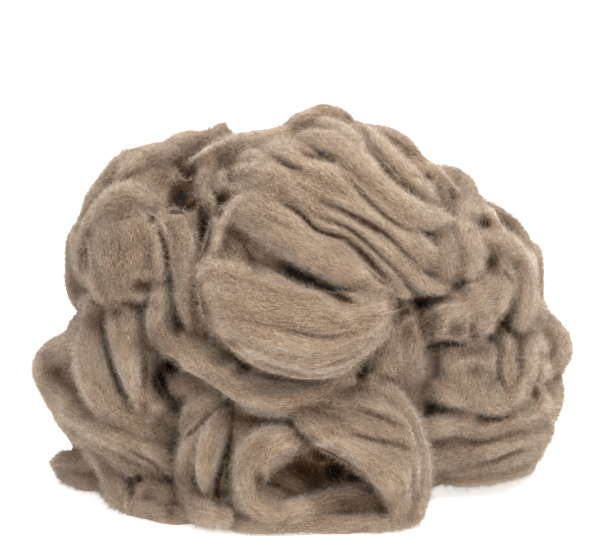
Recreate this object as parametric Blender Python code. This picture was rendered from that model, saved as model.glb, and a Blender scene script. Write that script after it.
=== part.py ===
"""A heap of wool roving: one long, thick strand of combed wool, dropped on a table in loose folds.

The heap is one solid. Its inside is a few round lobes run together, and its outside is the strand's own
folds, each a soft tube laid on the lobes. The folds are drawn in the FOLDS table, a row for each fold, on
five flat drawings of the heap: from the front, the two sides, the back and the top.
"""

import math
from collections import namedtuple

import bmesh
import bpy
import numpy as np

MM = 0.001  # lengths below are in millimetres, and the finished mesh is in metres

# The frame: X to the right, Y to the back, Z up, with the origin on the table under the middle of the heap.
FRONT_Y = -125.0  # where the front of the heap meets the table, the zero height of the front drawing
SHIFT = (-1.9, 3.1)  # moves the finished heap so that its box is centred on the origin

# The strand
SECTION_FLATNESS = 0.8  # thickness of a fold's section as a share of its width
ROOT_WIDTH = 0.75  # width of a fold's underside, where it runs down into the heap, as a share of its width
ROOT_DEPTH = 3.0  # how far that underside goes below the lobes' surface
END_WIDTH = 0.55  # width of a fold's very end as a share of its width
END_SLOPE = 2.5  # how fast the end grows to full width
TUCK = 9.0  # how deep a fold's two ends sink into the heap
TUCK_LENGTH = 22.0  # how much of a fold's length that sinking takes
DRAPE = 26.0  # a fold bridges hollows in the lobes that are shorter than this
SPREAD = 0.92  # spacing of strands that run side by side, as a share of their width
GATHER = 0.55  # that spacing at the two ends, as a share of the spacing in the middle
WANDER = 2.2  # how far one of several strands strays sideways from its line
WANDER_TURN = 7.0  # how far round its swing that straying goes along the strand, in radians
WANDER_LAG = 2.3  # how far the next strand's swing lags behind, in radians
UNEVEN = 3.0  # how much higher or lower one of several strands lies than the next
UNEVEN_LAG = 2.6  # how far round the rise and fall of neighbours goes from one to the next, in radians

# The mesh
PATH_STEP = 4.0  # spacing of the places at which a drawn path is carried to the heap
CURVE_POINTS = 40  # points worked out between two places of a path
SIGHT_REACH = 260.0  # how far before and behind a drawing the heap is looked for
SLOPE_STEP = 0.5  # the step over which the surface's slope is measured
STEP = 7.0  # spacing of the rings along a fold
AROUND = 12  # points round a fold
LOBE_POINTS = (48, 32)
LOBE_INSET = 3.0  # the lobes' mesh lies this far under the surface that the folds lie on
VOXEL = 3.6  # grid that joins folds and lobes into one surface
TRIANGLES = 9400
FLOOR_SIZE = (500.0, 500.0, 60.0)

WOOL_COLOUR = (0.46, 0.36, 0.26, 1.0)
WOOL_ROUGHNESS = 0.95

# A drawing's own directions: its azimuth and elevation, and how far back its zero line lies on the table.
View = namedtuple("View", "azimuth elevation base_y")
VIEWS = {
    "front": View(0, 14, FRONT_Y),
    "right": View(90, 0, 0.0),
    "back": View(180, 0, 0.0),
    "left": View(270, 0, 0.0),
    "top": View(0, 90, 0.0),
}

# The lobes inside the heap: centre, half sizes across, deep and up, half size down, and squareness.
Lobe = namedtuple("Lobe", "name centre half down power")
LOBES = (
    Lobe("dome", (0, 14, 85), (130, 100, 114), 118, 2.3),
    Lobe("foot", (5, -62, 30), (68, 56, 52), 70, 2.8),
    Lobe("belly", (-2, -42, 112), (70, 62, 48), 50, 2.2),
    Lobe("sweep", (20, -20, 165), (66, 66, 56), 60, 2.1),
    Lobe("left top", (-90, -8, 148), (40, 48, 52), 50, 2.1),
    Lobe("left low", (-96, -12, 68), (50, 58, 42), 60, 2.3),
    Lobe("left foot", (-88, -28, 14), (36, 44, 30), 40, 2.4),
    Lobe("right top", (92, 0, 120), (46, 54, 50), 56, 2.2),
    Lobe("right low", (102, 0, 58), (49, 52, 46), 64, 2.4),
)
LOBE_JOIN = 22.0  # how sharply two lobes meet

# The folds: drawing, number of strands side by side, width at the start and end, rise in front of the lobes,
# and the places that the fold runs through, as across and up on its drawing.
Fold = namedtuple("Fold", "name view strands width rise path")
FOLDS = (
    # upper left: arches round a ball-shaped lump and a deep pit
    Fold("left edge", "front", 1, (11, 11), 0, ((-141, 181), (-141, 155), (-134, 130))),
    Fold("outer arc", "front", 1, (13, 13), 2,
         ((-130, 150), (-132, 182), (-116, 214), (-97, 228), (-80, 230))),
    Fold("brow", "front", 1, (16, 14), 6, ((-112, 208), (-98, 221), (-76, 229))),
    Fold("middle arch", "front", 1, (20, 21), 7, ((-122, 175), (-113, 197), (-98, 209), (-88, 189))),
    Fold("ball arch", "front", 1, (24, 24), 9, ((-125, 143), (-119, 168), (-101, 178), (-85, 150))),
    Fold("ball middle", "front", 1, (18, 15), 10, ((-111, 170), (-108, 155), (-110, 140))),
    Fold("ball chin", "front", 1, (12, 12), 6, ((-125, 142), (-108, 137), (-88, 143))),
    Fold("neck lobe", "front", 1, (15, 14), 9, ((-86, 199), (-81, 190), (-77, 172))),
    Fold("neck", "front", 1, (20, 15), 11, ((-75, 193), (-68, 165), (-64, 142), (-58, 118))),
    Fold("side drop", "front", 1, (12, 16), 6, ((-81, 152), (-84, 125), (-79, 106))),
    Fold("back knob", "front", 1, (14, 11), 0, ((-80, 231), (-67, 239), (-57, 235), (-45, 246))),
    Fold("pit rim", "front", 1, (9, 9), 5, ((-54, 216), (-57, 203), (-50, 185))),
    # upper middle: long strands that sweep down to the right
    Fold("broad sweep", "front", 1, (18, 22), 3, ((-56, 212), (-53, 231), (-25, 231), (3, 216), (22, 207))),
    Fold("broad inner", "front", 1, (13, 14), 0, ((-50, 210), (-40, 221), (-20, 221), (-5, 211))),
    Fold("sweep one", "front", 1, (12, 13), 7, ((-5, 240), (30, 228), (56, 208), (89, 187))),
    Fold("sweep two", "front", 1, (15, 16), 10, ((1, 221), (28, 213), (56, 196), (91, 186))),
    Fold("sweep three", "front", 1, (14, 19), 11, ((-6, 212), (26, 200), (54, 182), (88, 154))),
    Fold("sweep four", "front", 1, (11, 12), 12, ((-2, 204), (28, 187), (60, 162), (78, 147), (97, 145))),
    Fold("sweep five", "front", 1, (9, 10), 14, ((-20, 217), (-3, 197), (30, 178), (54, 155), (66, 135))),
    Fold("sweep under", "front", 1, (9, 9), 6, ((13, 179), (35, 167), (60, 147))),
    Fold("hook outer", "front", 1, (13, 14), 12, ((-52, 168), (-40, 194), (-22, 200), (12, 177), (60, 141))),
    Fold("hook inner", "front", 1, (14, 19), 12, ((-38, 179), (-24, 186), (2, 170), (30, 153), (57, 139))),
    Fold("hook shade", "front", 1, (17, 16), 5, ((-36, 178), (-24, 168), (-8, 154))),
    # top
    Fold("top arch", "front", 1, (14, 14), 0, ((-18, 233), (-5, 243), (14, 250), (28, 248), (40, 238))),
    Fold("top two", "front", 1, (9, 9), 5, ((6, 248), (30, 238), (62, 206))),
    Fold("top three", "front", 1, (11, 11), 5, ((33, 246), (52, 226), (88, 189))),
    Fold("top lump", "front", 1, (19, 17), 0, ((38, 238), (57, 231), (72, 212))),
    # middle: the great swag and the one under it
    Fold("swag lip", "front", 1, (13, 13), 16, ((-57, 160), (-47, 166), (-20, 153), (10, 145), (47, 139))),
    Fold("swag one", "front", 1, (15, 14), 19, ((-58, 156), (-36, 148), (10, 139), (56, 136))),
    Fold("swag two", "front", 1, (15, 15), 21, ((-58, 147), (-34, 135), (12, 128), (56, 135))),
    Fold("swag three", "front", 1, (14, 14), 20, ((-57, 137), (-34, 120), (8, 112), (57, 132))),
    Fold("swag four", "front", 1, (12, 12), 16, ((-54, 125), (-32, 108), (6, 102), (55, 127))),
    Fold("swag five", "front", 1, (10, 10), 11, ((-48, 115), (-26, 99), (6, 94), (52, 118))),
    Fold("low swag", "front", 1, (16, 22), 8, ((-84, 125), (-79, 106), (-42, 87), (-10, 78), (32, 98))),
    Fold("low swag top", "front", 1, (12, 12), 4, ((-78, 118), (-55, 106), (-33, 96))),
    # lower left: strands that turn down and in
    Fold("left one", "front", 1, (20, 22), 2, ((-126, 121), (-152, 105), (-148, 86), (-119, 59))),
    Fold("left two", "front", 1, (23, 22), 7, ((-117, 128), (-130, 98), (-117, 69), (-80, 48))),
    Fold("left three", "front", 1, (16, 15), 10, ((-103, 127), (-109, 99), (-98, 77), (-76, 65))),
    Fold("left four", "front", 1, (11, 11), 5, ((-92, 123), (-94, 96), (-78, 70))),
    Fold("left five", "front", 1, (11, 10), 6, ((-112, 55), (-96, 45), (-75, 30))),
    Fold("left six", "front", 1, (12, 12), 4, ((-126, 53), (-110, 43), (-90, 31))),
    Fold("left seven", "front", 1, (14, 14), 0, ((-125, 49), (-115, 33), (-103, 16))),
    Fold("left end", "front", 1, (15, 9), 0, ((-126, 50), (-140, 45), (-154, 39))),
    Fold("left end low", "front", 1, (12, 12), 0, ((-152, 37), (-138, 33), (-122, 34))),
    Fold("left loop", "front", 1, (10, 10), 3, ((-104, 15), (-97, 24), (-85, 25), (-80, 11))),
        Fold("left floor", "front", 1, (12, 12), 0, ((-122, 27), (-102, 17), (-82, 14), (-60, 10))),
    # foot: loops that stand in front, round a small hollow
    Fold("gusset", "front", 1, (18, 17), 7, ((-46, 82), (-62, 78), (-70, 55))),
    Fold("gusset top", "front", 1, (9, 9), 8, ((-78, 83), (-66, 88), (-52, 85))),
    Fold("foot left", "front", 1, (16, 17), 9, ((-50, 68), (-66, 44), (-63, 18), (-34, 5))),
    Fold("foot fray", "front", 1, (9, 9), 11, ((-44, 73), (-55, 50), (-56, 22))),
    Fold("ring outer", "front", 1, (13, 13), 11, ((-10, 67), (-33, 52), (-40, 28), (-16, 6))),
    Fold("ring inner", "front", 1, (14, 11), 13, ((1, 62), (-22, 49), (-31, 27), (-12, 14), (36, 26))),
    Fold("ring lip", "front", 1, (6, 6), 17, ((-29, 34), (-22, 27), (-11, 21))),
    Fold("ring shade", "front", 1, (10, 10), 2, ((-25, 43), (-6, 35), (14, 27))),
    Fold("foot outer", "front", 1, (12, 12), 9,
         ((16, 81), (55, 85), (74, 68), (78, 30), (66, 9), (20, 6), (-42, 8))),
    Fold("foot crown", "front", 1, (13, 11), 9, ((8, 83), (44, 77), (67, 64), (73, 30))),
    Fold("foot two", "front", 1, (13, 13), 12, ((8, 79), (40, 69), (67, 56), (70, 14))),
    Fold("foot three", "front", 1, (16, 21), 14, ((-3, 71), (24, 55), (52, 38), (58, 7))),
    Fold("foot four", "front", 1, (13, 13), 6, ((28, 28), (46, 21), (48, 4))),
    Fold("foot floor", "front", 1, (9, 9), 9, ((-44, 12), (-10, 8), (32, 16), (62, 9))),
    Fold("foot inner", "front", 1, (10, 10), 6, ((-22, 14), (12, 12), (40, 21))),
    # upper right
    Fold("right mass", "front", 1, (24, 26), 0, ((68, 132), (58, 108), (60, 86))),
    Fold("right arch", "front", 1, (13, 13), 0, ((70, 211), (88, 214), (101, 205), (100, 182))),
    Fold("right edge", "front", 1, (11, 11), 0, ((104, 190), (124, 187), (138, 173), (146, 154))),
    Fold("crinkle rim", "front", 1, (13, 12), 8, ((89, 181), (104, 178), (104, 154))),
    Fold("crinkle", "front", 1, (18, 17), 7, ((90, 176), (93, 166), (91, 156))),
    Fold("right bow", "front", 1, (14, 14), 4, ((108, 175), (128, 167), (136, 145), (133, 124))),
    Fold("right tip", "front", 1, (9, 10), 0, ((145, 171), (145, 152), (148, 134))),
    Fold("right hand", "front", 1, (17, 18), 9, ((70, 127), (98, 140), (128, 143))),
    Fold("right palm", "front", 1, (14, 14), 9, ((127, 143), (112, 121), (75, 118))),
    # lower right
    Fold("right bulge", "front", 1, (18, 19), 2, ((131, 139), (152, 125), (158, 106), (145, 93))),
    Fold("right drop", "front", 1, (24, 16), 7, ((131, 115), (133, 96), (112, 72))),
    Fold("right comb", "front", 1, (10, 9), 6, ((77, 100), (97, 99), (119, 99))),
    Fold("right comb two", "front", 1, (15, 15), 6, ((80, 79), (100, 85), (124, 77))),
    Fold("right belt", "front", 1, (13, 17), 4, ((74, 61), (104, 64), (140, 71), (152, 82), (150, 98))),
    Fold("right belt two", "front", 1, (9, 10), 4, ((78, 57), (112, 58), (154, 63))),
    Fold("right belt three", "front", 1, (12, 12), 3, ((80, 45), (115, 48), (152, 55))),
    Fold("right foot", "front", 1, (14, 13), 2, ((80, 33), (96, 37), (110, 42))),
    Fold("right foot two", "front", 1, (14, 13), 0, ((90, 31), (120, 33), (138, 40), (151, 52))),
    # top, seen from above
    Fold("top cross", "top", 4, (14, 14), 0, ((-70, 10), (-15, 38), (60, 20))),
    Fold("top back left", "top", 4, (15, 15), 0, ((-112, 15), (-80, 62), (-10, 78))),
    Fold("top back right", "top", 3, (15, 15), 0, ((90, 8), (68, 54), (0, 68))),
    # right side
    Fold("right high", "right", 3, (14, 14), 0, ((-38, 134), (10, 150), (58, 126))),
    Fold("right swag", "right", 4, (15, 15), 0, ((-22, 124), (30, 98), (84, 116))),
    Fold("right side drop", "right", 3, (16, 15), 1, ((90, 140), (78, 92), (40, 60))),
    Fold("right low swag", "right", 4, (15, 15), 0, ((-44, 80), (10, 55), (70, 60))),
    Fold("right side foot", "right", 3, (14, 14), 0, ((-40, 30), (15, 16), (70, 30))),
    # back
    Fold("back high", "back", 4, (15, 15), 3, ((-96, 150), (-60, 192), (20, 196), (84, 158))),
    Fold("back swag", "back", 6, (15, 15), 8, ((-82, 158), (-18, 116), (66, 150))),
    Fold("back hook", "back", 3, (15, 14), 6, ((96, 152), (104, 104), (70, 74), (24, 84))),
    Fold("back drop", "back", 4, (15, 15), 4, ((-88, 132), (-112, 88), (-78, 40))),
    Fold("back low swag", "back", 5, (15, 15), 6, ((-78, 84), (-16, 48), (52, 74))),
    Fold("back foot", "back", 3, (14, 14), 2, ((-76, 26), (-10, 13), (70, 24))),
    Fold("back loop", "back", 3, (13, 13), 4, ((62, 62), (104, 52), (92, 18), (40, 20))),
    # left side
    Fold("left high", "left", 3, (14, 14), 0, ((-66, 122), (-20, 152), (40, 144))),
    Fold("left swag", "left", 4, (15, 15), 0, ((-86, 112), (-34, 84), (18, 96))),
    Fold("left side drop", "left", 3, (16, 15), 0, ((-88, 112), (-78, 66), (-36, 40))),
    Fold("left low swag", "left", 3, (15, 15), 0, ((-66, 60), (-14, 50), (38, 66))),
    Fold("left side foot", "left", 3, (14, 14), 0, ((-72, 26), (-12, 15), (36, 26))),
)


def axes_of(view):
    """A drawing's across and up directions, its line of sight, and the point that its origin stands for."""
    turn, lean = math.radians(view.azimuth), math.radians(view.elevation)
    across = np.array([math.cos(turn), math.sin(turn), 0.0])
    ahead = np.array([-math.sin(turn), math.cos(turn), 0.0])
    up = math.sin(lean) * ahead + np.array([0.0, 0.0, math.cos(lean)])
    sight = math.cos(lean) * ahead - np.array([0.0, 0.0, math.sin(lean)])
    return across, up, sight, np.array([0.0, view.base_y, 0.0])


def fullness(points):
    """How far out points lie: under 1 inside the joined lobes, 1 on their surface and more outside."""
    total = 0.0
    for lobe in LOBES:
        away = points - np.array(lobe.centre, float)
        half = np.broadcast_to(np.array(lobe.half, float), away.shape).copy()
        half[..., 2] = np.where(away[..., 2] < 0, lobe.down, lobe.half[2])
        reach = (np.abs(away / half) ** lobe.power).sum(axis=-1) ** (1 / lobe.power)
        total = total + np.maximum(reach, 1e-3) ** -LOBE_JOIN
    return total ** (-1 / LOBE_JOIN)


def unit(vectors):
    """The vectors at length 1."""
    return vectors / np.linalg.norm(vectors, axis=-1, keepdims=True)


def outward(points):
    """The direction that the heap's surface faces at points."""
    steps = SLOPE_STEP * np.eye(3)
    return unit(np.stack([fullness(points + step) - fullness(points - step) for step in steps], axis=-1))


def smooth_path(path, spacing):
    """Places evenly spaced along a smooth curve through the path's own places."""
    knots = np.array(path, float)
    padded = np.vstack([2 * knots[0] - knots[1], knots, 2 * knots[-1] - knots[-2]])
    part = np.linspace(0, 1, CURVE_POINTS, endpoint=False)[:, None]
    runs = []
    for a, b, c, d in zip(padded, padded[1:], padded[2:], padded[3:]):
        bend = 2 * a - 5 * b + 4 * c - d
        twist = 3 * b - 3 * c + d - a
        runs.append(b + 0.5 * ((c - a) * part + bend * part**2 + twist * part**3))
    return evenly(np.vstack([*runs, knots[-1:]]), spacing)


def gone_along(line):
    """How far along the line each of its places is."""
    return np.concatenate([[0], np.cumsum(np.linalg.norm(np.diff(line, axis=0), axis=1))])


def evenly(line, spacing):
    """The line again, with places at about one spacing from each other."""
    gone = gone_along(line)
    at = np.linspace(0, gone[-1], max(6, int(round(gone[-1] / spacing)) + 1))
    return np.stack([np.interp(at, gone, column) for column in line.T], axis=1)


def smoothed(values, reach):
    """A running mean over reach values each way, with the two ends held."""
    padded = np.pad(values, (reach, reach), mode="edge")
    return np.convolve(padded, np.ones(2 * reach + 1) / (2 * reach + 1), mode="valid")


def side_by_side(fold):
    """The drawn line and rise of each of a fold's strands, apart in the middle and together at the ends."""
    line = smooth_path(fold.path, PATH_STEP)
    along = np.gradient(line, axis=0)
    aside = unit(np.stack([-along[:, 1], along[:, 0]], axis=1))
    part = np.linspace(0, 1, len(line))[:, None]
    open_up = GATHER + (1 - GATHER) * np.sin(math.pi * part)
    pitch = SPREAD * sum(fold.width) / 2
    for number in range(fold.strands):
        offset = pitch * (number - (fold.strands - 1) / 2)
        several = fold.strands > 1
        sway = several * WANDER * np.sin(WANDER_LAG * number + WANDER_TURN * part)
        lift = several * UNEVEN * math.sin(UNEVEN_LAG * number + 1)
        yield line + aside * (open_up * offset + sway), fold.rise + lift


def seated(line, fold, rise):
    """Drawn places carried along the drawing's line of sight to the heap's surface, or to the table if
    that is met first, and raised off it."""
    across, up, sight, base = axes_of(VIEWS[fold.view])
    flat = base + line[:, :1] * across + line[:, 1:] * up
    depths = np.arange(-SIGHT_REACH, SIGHT_REACH, 1.0)
    full = fullness(flat[:, None, :] + depths[:, None] * sight)
    inside = full < 1
    met = depths[np.where(inside.any(axis=1), inside.argmax(axis=1), full.argmin(axis=1))]
    if sight[2] < 0:
        half_thick = SECTION_FLATNESS * sum(fold.width) / 4
        met = np.minimum(met, (flat[:, 2] - half_thick) / -sight[2])
    depth = smoothed(met, max(1, int(DRAPE / 2 / PATH_STEP)))
    gone = gone_along(line)
    from_end = np.minimum(gone, gone[-1] - gone)
    sink = TUCK * (1 - np.clip(from_end / TUCK_LENGTH, 0, 1)) ** 2
    return flat + (depth - rise + sink)[:, None] * sight


def add_strand(bm, line, fold, rise):
    """A soft tube along line whose underside runs down into the heap, made from a sphere whose rings are
    spread along it."""
    line = evenly(line, STEP)
    gone = np.linspace(0, 1, len(line))
    along = unit(np.gradient(line, axis=0))
    wide = unit(np.cross(along, outward(line)))
    thick = np.cross(wide, along)
    half = np.interp(gone, (0, 1), fold.width) / 2
    half *= np.minimum(1.0, END_WIDTH + END_SLOPE * np.minimum(gone, 1 - gone))
    root = max(rise, 0.0) + LOBE_INSET + ROOT_DEPTH
    made = bmesh.ops.create_uvsphere(bm, u_segments=AROUND, v_segments=len(line) - 1, radius=1.0)
    for vert in made["verts"]:
        turn = math.acos(max(-1.0, min(1.0, vert.co.z)))
        ring = int(round((1 - turn / math.pi) * (len(line) - 1)))
        if math.hypot(vert.co.x, vert.co.y) < 1e-6:
            vert.co = line[ring] * MM
            continue
        angle = math.atan2(vert.co.y, vert.co.x)
        out, aside = half[ring] * SECTION_FLATNESS * math.cos(angle), half[ring] * math.sin(angle)
        if out < 0:
            out += root * math.cos(angle)
            aside *= 1 + (1 - ROOT_WIDTH) * math.cos(angle)
        vert.co = (line[ring] + out * thick[ring] + aside * wide[ring]) * MM


def add_lobe(bm, lobe):
    """One lobe, a rounded box a little under the surface that the folds lie on."""
    made = bmesh.ops.create_uvsphere(bm, u_segments=LOBE_POINTS[0], v_segments=LOBE_POINTS[1], radius=1.0)
    for vert in made["verts"]:
        direction = np.array(vert.co)
        half = np.array(lobe.half, float) - LOBE_INSET
        if direction[2] < 0:
            half[2] = lobe.down - LOBE_INSET
        reach = (np.abs(direction) ** lobe.power).sum() ** (-1 / lobe.power)
        vert.co = (np.array(lobe.centre, float) + half * direction * reach) * MM


def mesh_object(name, bm):
    """A new object that holds what the bmesh holds."""
    mesh = bpy.data.meshes.new(name)
    bm.to_mesh(mesh)
    bm.free()
    obj = bpy.data.objects.new(name, mesh)
    bpy.context.scene.collection.objects.link(obj)
    return obj


def evaluated_bmesh(obj):
    """The object's mesh with its modifiers applied."""
    bpy.context.view_layer.update()
    bm = bmesh.new()
    bm.from_object(obj, bpy.context.evaluated_depsgraph_get())
    return bm


def keep_largest(bm):
    """Drops every piece of surface but the largest: closed-off hollows and what touches nothing."""
    left = set(bm.verts)
    largest = []
    while left:
        island = [left.pop()]
        for vert in island:
            for edge in vert.link_edges:
                other = edge.other_vert(vert)
                if other in left:
                    left.remove(other)
                    island.append(other)
        largest = max(largest, island, key=len)
    kept = set(largest)
    bmesh.ops.delete(bm, geom=[vert for vert in bm.verts if vert not in kept], context="VERTS")


def wool_material():
    """Plain taupe wool."""
    wool = bpy.data.materials.new("wool")
    wool.use_nodes = True
    shader = wool.node_tree.nodes["Principled BSDF"]
    shader.inputs["Base Color"].default_value = WOOL_COLOUR
    shader.inputs["Roughness"].default_value = WOOL_ROUGHNESS
    shader.inputs["Metallic"].default_value = 0.0
    return wool


def floor_block():
    """A helper: the block that cuts the heap flat where it rests."""
    bm = bmesh.new()
    bmesh.ops.create_cube(bm, size=1.0)
    bmesh.ops.scale(bm, vec=[MM * side for side in FLOOR_SIZE], verts=bm.verts)
    bmesh.ops.translate(bm, vec=(0, 0, -MM * FLOOR_SIZE[2] / 2), verts=bm.verts)
    block = mesh_object("floor_block", bm)
    block.hide_render = True
    block.display_type = "WIRE"
    return block


def joined_heap():
    """Lobes and folds run together into one closed surface."""
    bm = bmesh.new()
    for lobe in LOBES:
        add_lobe(bm, lobe)
    for fold in FOLDS:
        for line, rise in side_by_side(fold):
            add_strand(bm, seated(line, fold, rise), fold, rise)
    heap = mesh_object("heap", bm)
    remesh = heap.modifiers.new("join", "REMESH")
    remesh.mode = "VOXEL"
    remesh.voxel_size = VOXEL * MM
    joined = evaluated_bmesh(heap)
    bpy.data.objects.remove(heap)
    return joined


def roving():
    """The heap as one solid with a flat foot."""
    bm = joined_heap()
    keep_largest(bm)
    bmesh.ops.triangulate(bm, faces=bm.faces)
    bmesh.ops.translate(bm, vec=(MM * SHIFT[0], MM * SHIFT[1], 0), verts=bm.verts)
    count = len(bm.faces)
    heap = mesh_object("roving", bm)
    thin = heap.modifiers.new("fewer faces", "DECIMATE")
    thin.ratio = TRIANGLES / count
    cut = heap.modifiers.new("flat foot", "BOOLEAN")
    cut.operation = "DIFFERENCE"
    cut.solver = "EXACT"
    cut.object = floor_block()
    heap.data.materials.append(wool_material())
    heap.data.shade_smooth()
    return heap


for old in list(bpy.data.objects):
    bpy.data.objects.remove(old)
roving()
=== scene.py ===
"""A heap of wool roving: one thick strand of combed wool, dropped in loose folds on a pale surface."""

import math
from collections import namedtuple

import bmesh
import bpy
import numpy as np
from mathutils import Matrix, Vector, kdtree


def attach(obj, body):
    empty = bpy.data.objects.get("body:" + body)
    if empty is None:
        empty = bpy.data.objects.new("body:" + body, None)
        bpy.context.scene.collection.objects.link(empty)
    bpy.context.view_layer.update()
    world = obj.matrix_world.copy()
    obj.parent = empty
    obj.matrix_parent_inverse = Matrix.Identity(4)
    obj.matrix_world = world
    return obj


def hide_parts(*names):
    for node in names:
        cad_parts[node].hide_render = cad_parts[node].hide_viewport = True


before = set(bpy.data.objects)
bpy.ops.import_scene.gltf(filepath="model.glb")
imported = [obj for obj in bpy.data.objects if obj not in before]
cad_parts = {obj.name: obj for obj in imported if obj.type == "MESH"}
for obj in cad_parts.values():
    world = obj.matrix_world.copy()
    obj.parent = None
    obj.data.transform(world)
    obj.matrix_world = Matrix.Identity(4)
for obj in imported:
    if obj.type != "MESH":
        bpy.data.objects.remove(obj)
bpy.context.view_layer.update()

MM = 0.001  # shapes are worked out in millimetres, and every finished mesh is in metres

# The heap's drawings
FRONT_Y = -125.0  # where the front of the heap meets the table, the zero height of the front drawing
SHIFT = np.array((-1.9, 3.1, 0.0))  # puts the heap's box over the origin
SECTION_FLATNESS = 0.8  # thickness of a fold's section as a share of its width
FLAT_FROM = 8.0  # a strand whose half width is over this lies flatter
TUCK = 9.0  # how deep a fold's two ends sink into the heap
TUCK_LENGTH = 22.0  # how much of a fold's length that sinking takes
DRAPE = 26.0  # a fold bridges hollows that are shorter than this
SPREAD = 1.02  # spacing of strands that run side by side, as a share of their width
OPEN_UP = (0.55, 0.45)  # share of that spacing at a fold's two ends, and what its middle adds
WANDER = 2.2  # how far one of several strands strays sideways from its line
WANDER_TURN = (2.3, 7.0)  # how that differs from one strand to the next, and how it changes along them
UNEVEN = 4.6  # how much higher or lower one of several strands lies than the next
UNEVEN_TURN = (2.6, 1.0)  # how that differs from one strand to the next, and where it starts
SEARCH = 260.0  # how far before and behind a drawing the heap's surface is looked for

# The wool's surface
STEP = 4.0  # spacing of the samples along a strand
AROUND, RINGS = 20, 72  # points round a strand's skin, and rings along it
TIP_WIDTH = (0.55, 2.5)  # a strand's tips as a share of its width, and how fast it fills out from them
SWELL = (26.0, 0.13)  # length and share of its swelling and narrowing
STRAND_APART = 3.7  # how far apart in the noise two strands lie, so that they swell in other places
ROOT_WIDTH = 0.75  # a strand's foot, where it runs down into the heap, as a share of its width
ROOT_DEPTH = 3.0  # how far that foot goes on into the lobes
NEIGHBOURS = 10  # samples that are tried to find the strand that a point belongs to
LOBE_AROUND, LOBE_RINGS = 64, 48  # the same for a lobe
LOBE_INSET = 3.0  # how far the lobes themselves lie under the surface that the strands are seated on
FINE_GRID, COARSE_GRID = 1.3, 2.6  # grids that run the strands together, for the front and for the rest
OVERLAP = 3  # how many coarse grid steps the rest runs on under the front's edge
OVERLAP_SINK = 0.35  # how much lower it lies there
SETTLE = 2  # rounds of smoothing of the joined strands
FELT_REACH = 5.5  # width of the grooves that are filled where strands felted together
SHADE_REACH = 7.0  # width of the grooves whose colour is darkened with painted shade, and of the ridges made paler with a painted highlight
CARVED_SHADE = 0.3  # how much painted shade each millimetre of a crease or a hollow adds to the wool's colour
MERGE = (0.45, 1.0)  # share of a groove's depth that is filled where strands stay apart, and where they felt
PATCH = 26.0  # how far apart such places are
PATCH_EDGE = 1.4  # how sharply one goes over into the other
FACING = (0.6, 2.0)  # creases and hollows fade out where the surface turns away from the front
CREASE_STEP = 1.5  # spacing of the places along a crease
CREASE_REACH = 3  # how far a crease is still felt, in its own widths
CREASE_TAPER = 0.7  # how blunt its two ends are

# The wool's relief: size across, outward and along a strand, height, and its own number in the noise
Relief = namedtuple("Relief", "size height seed")
LUMPS = Relief(13.0, 0.9, 53)  # over the whole heap, whatever way the strands run
RELIEF = (
    Relief((9.0, 9.0, 44.0), 0.8, 11),  # locks
    Relief((4.0, 4.0, 24.0), 0.4, 23),  # grooves between them
    Relief((2.2, 2.2, 10.0), 0.25, 37),  # fine combing
)
RELIEF_SHIFT = (7.3, 3.1, 11.7)  # from one strand's relief to the next one's
GRAIN_SHIFT = (31.0, 17.0, 53.0)  # from one strand's streaks of colour to the next one's

# Fibres. A wool fibre is 0.03 mm thick, too fine to show, so each one here stands for a small lock of them.
# For each kind: how many, how long and how wide, and how unlike their widths are; how much more of them
# there is where the heap faces the front or up; what their direction takes from the skin's and from the
# strand's, and how far it strays; what the way that they face takes from the skin's, and how far that turns;
# how far their tints differ; and the regions that they are divided by.
Fibres = namedtuple("Fibres", "name count length width unlike front off along stray flat turn tints regions")
COMBED = Fibres("combed_fibres", 150000, (1.8, 5.5), 0.22, (0.6, 1.4), front=1.2, off=0.05, along=1.0,
                stray=0.3, flat=1.0, turn=0.3, tints=0.27, regions=("front", "back"))
FUZZ = Fibres("fuzz", 340000, (1.5, 6.0), 0.2, (0.6, 1.4), front=1.2, off=0.7, along=0.5,
              stray=0.5, flat=0.0, turn=1.0, tints=0.25, regions=("left", "right", "back"))
CURLED = Fibres("stray_fibres", 3000, (4.0, 8.0), 0.10, (0.7, 1.2), front=0.6, off=0.7, along=0.5,
                stray=0.7, flat=0.0, turn=1.0, tints=0.25, regions=())
CURL = 0.5  # how far a curled one bends
CURL_STEPS = 5
NARROW = (1.15, 0.12)  # how late it narrows towards its tips, and what is left there
ROOT_STRAY = 0.5  # how far off the skin a straight one starts
BEHIND = -20.0  # where the heap's back begins
FRONT_AND_UP = (0.8, 0.4)  # how much it counts that the skin faces the front, and that it faces up
DEEP_FEWER = (1.3, 0.25)  # share of the fibres on level wool, and how much it falls with each mm of depth
TINT = (0.5, 0.12)  # how pale fibres on level wool are, and how much darker each mm of depth makes them as painted shade, or paler each mm of ridge as a painted highlight
DEEP_TINT = (0.2, 2.5, 4.0)  # the darkest tints' share, kept for painted shade in deep places, the depth that they start at, and over how much more
TABLE_GAP = 0.05  # the least height of a fibre over the table

# The camera: level with the front drawing
CAMERA_DISTANCE = 2.8
CAMERA_LEAN = 14.0
SENSOR_WIDTH = 36.0
VIEW_WIDTH = 0.36  # how much of the heap's width and air the frame takes in, at the aim
FAR = 20.0  # how far the camera sees
CAMERA_AIM = Vector((-0.0019, -0.0569, 0.1424))

WHITE = (1.0, 1.0, 1.0, 1.0)
STUDIO_GLOW = 0.38  # light of the white surroundings
FLOOR_GLOW = 0.7  # keeps the table nearly white all round the heap
FLOOR_RADIUS = 9.0

View = namedtuple("View", "azimuth elevation base_y")
VIEWS = {
    "front": View(0, 14, FRONT_Y),
    "right": View(90, 0, 0.0),
    "back": View(180, 0, 0.0),
    "left": View(270, 0, 0.0),
    "top": View(0, 90, 0.0),
}

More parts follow.
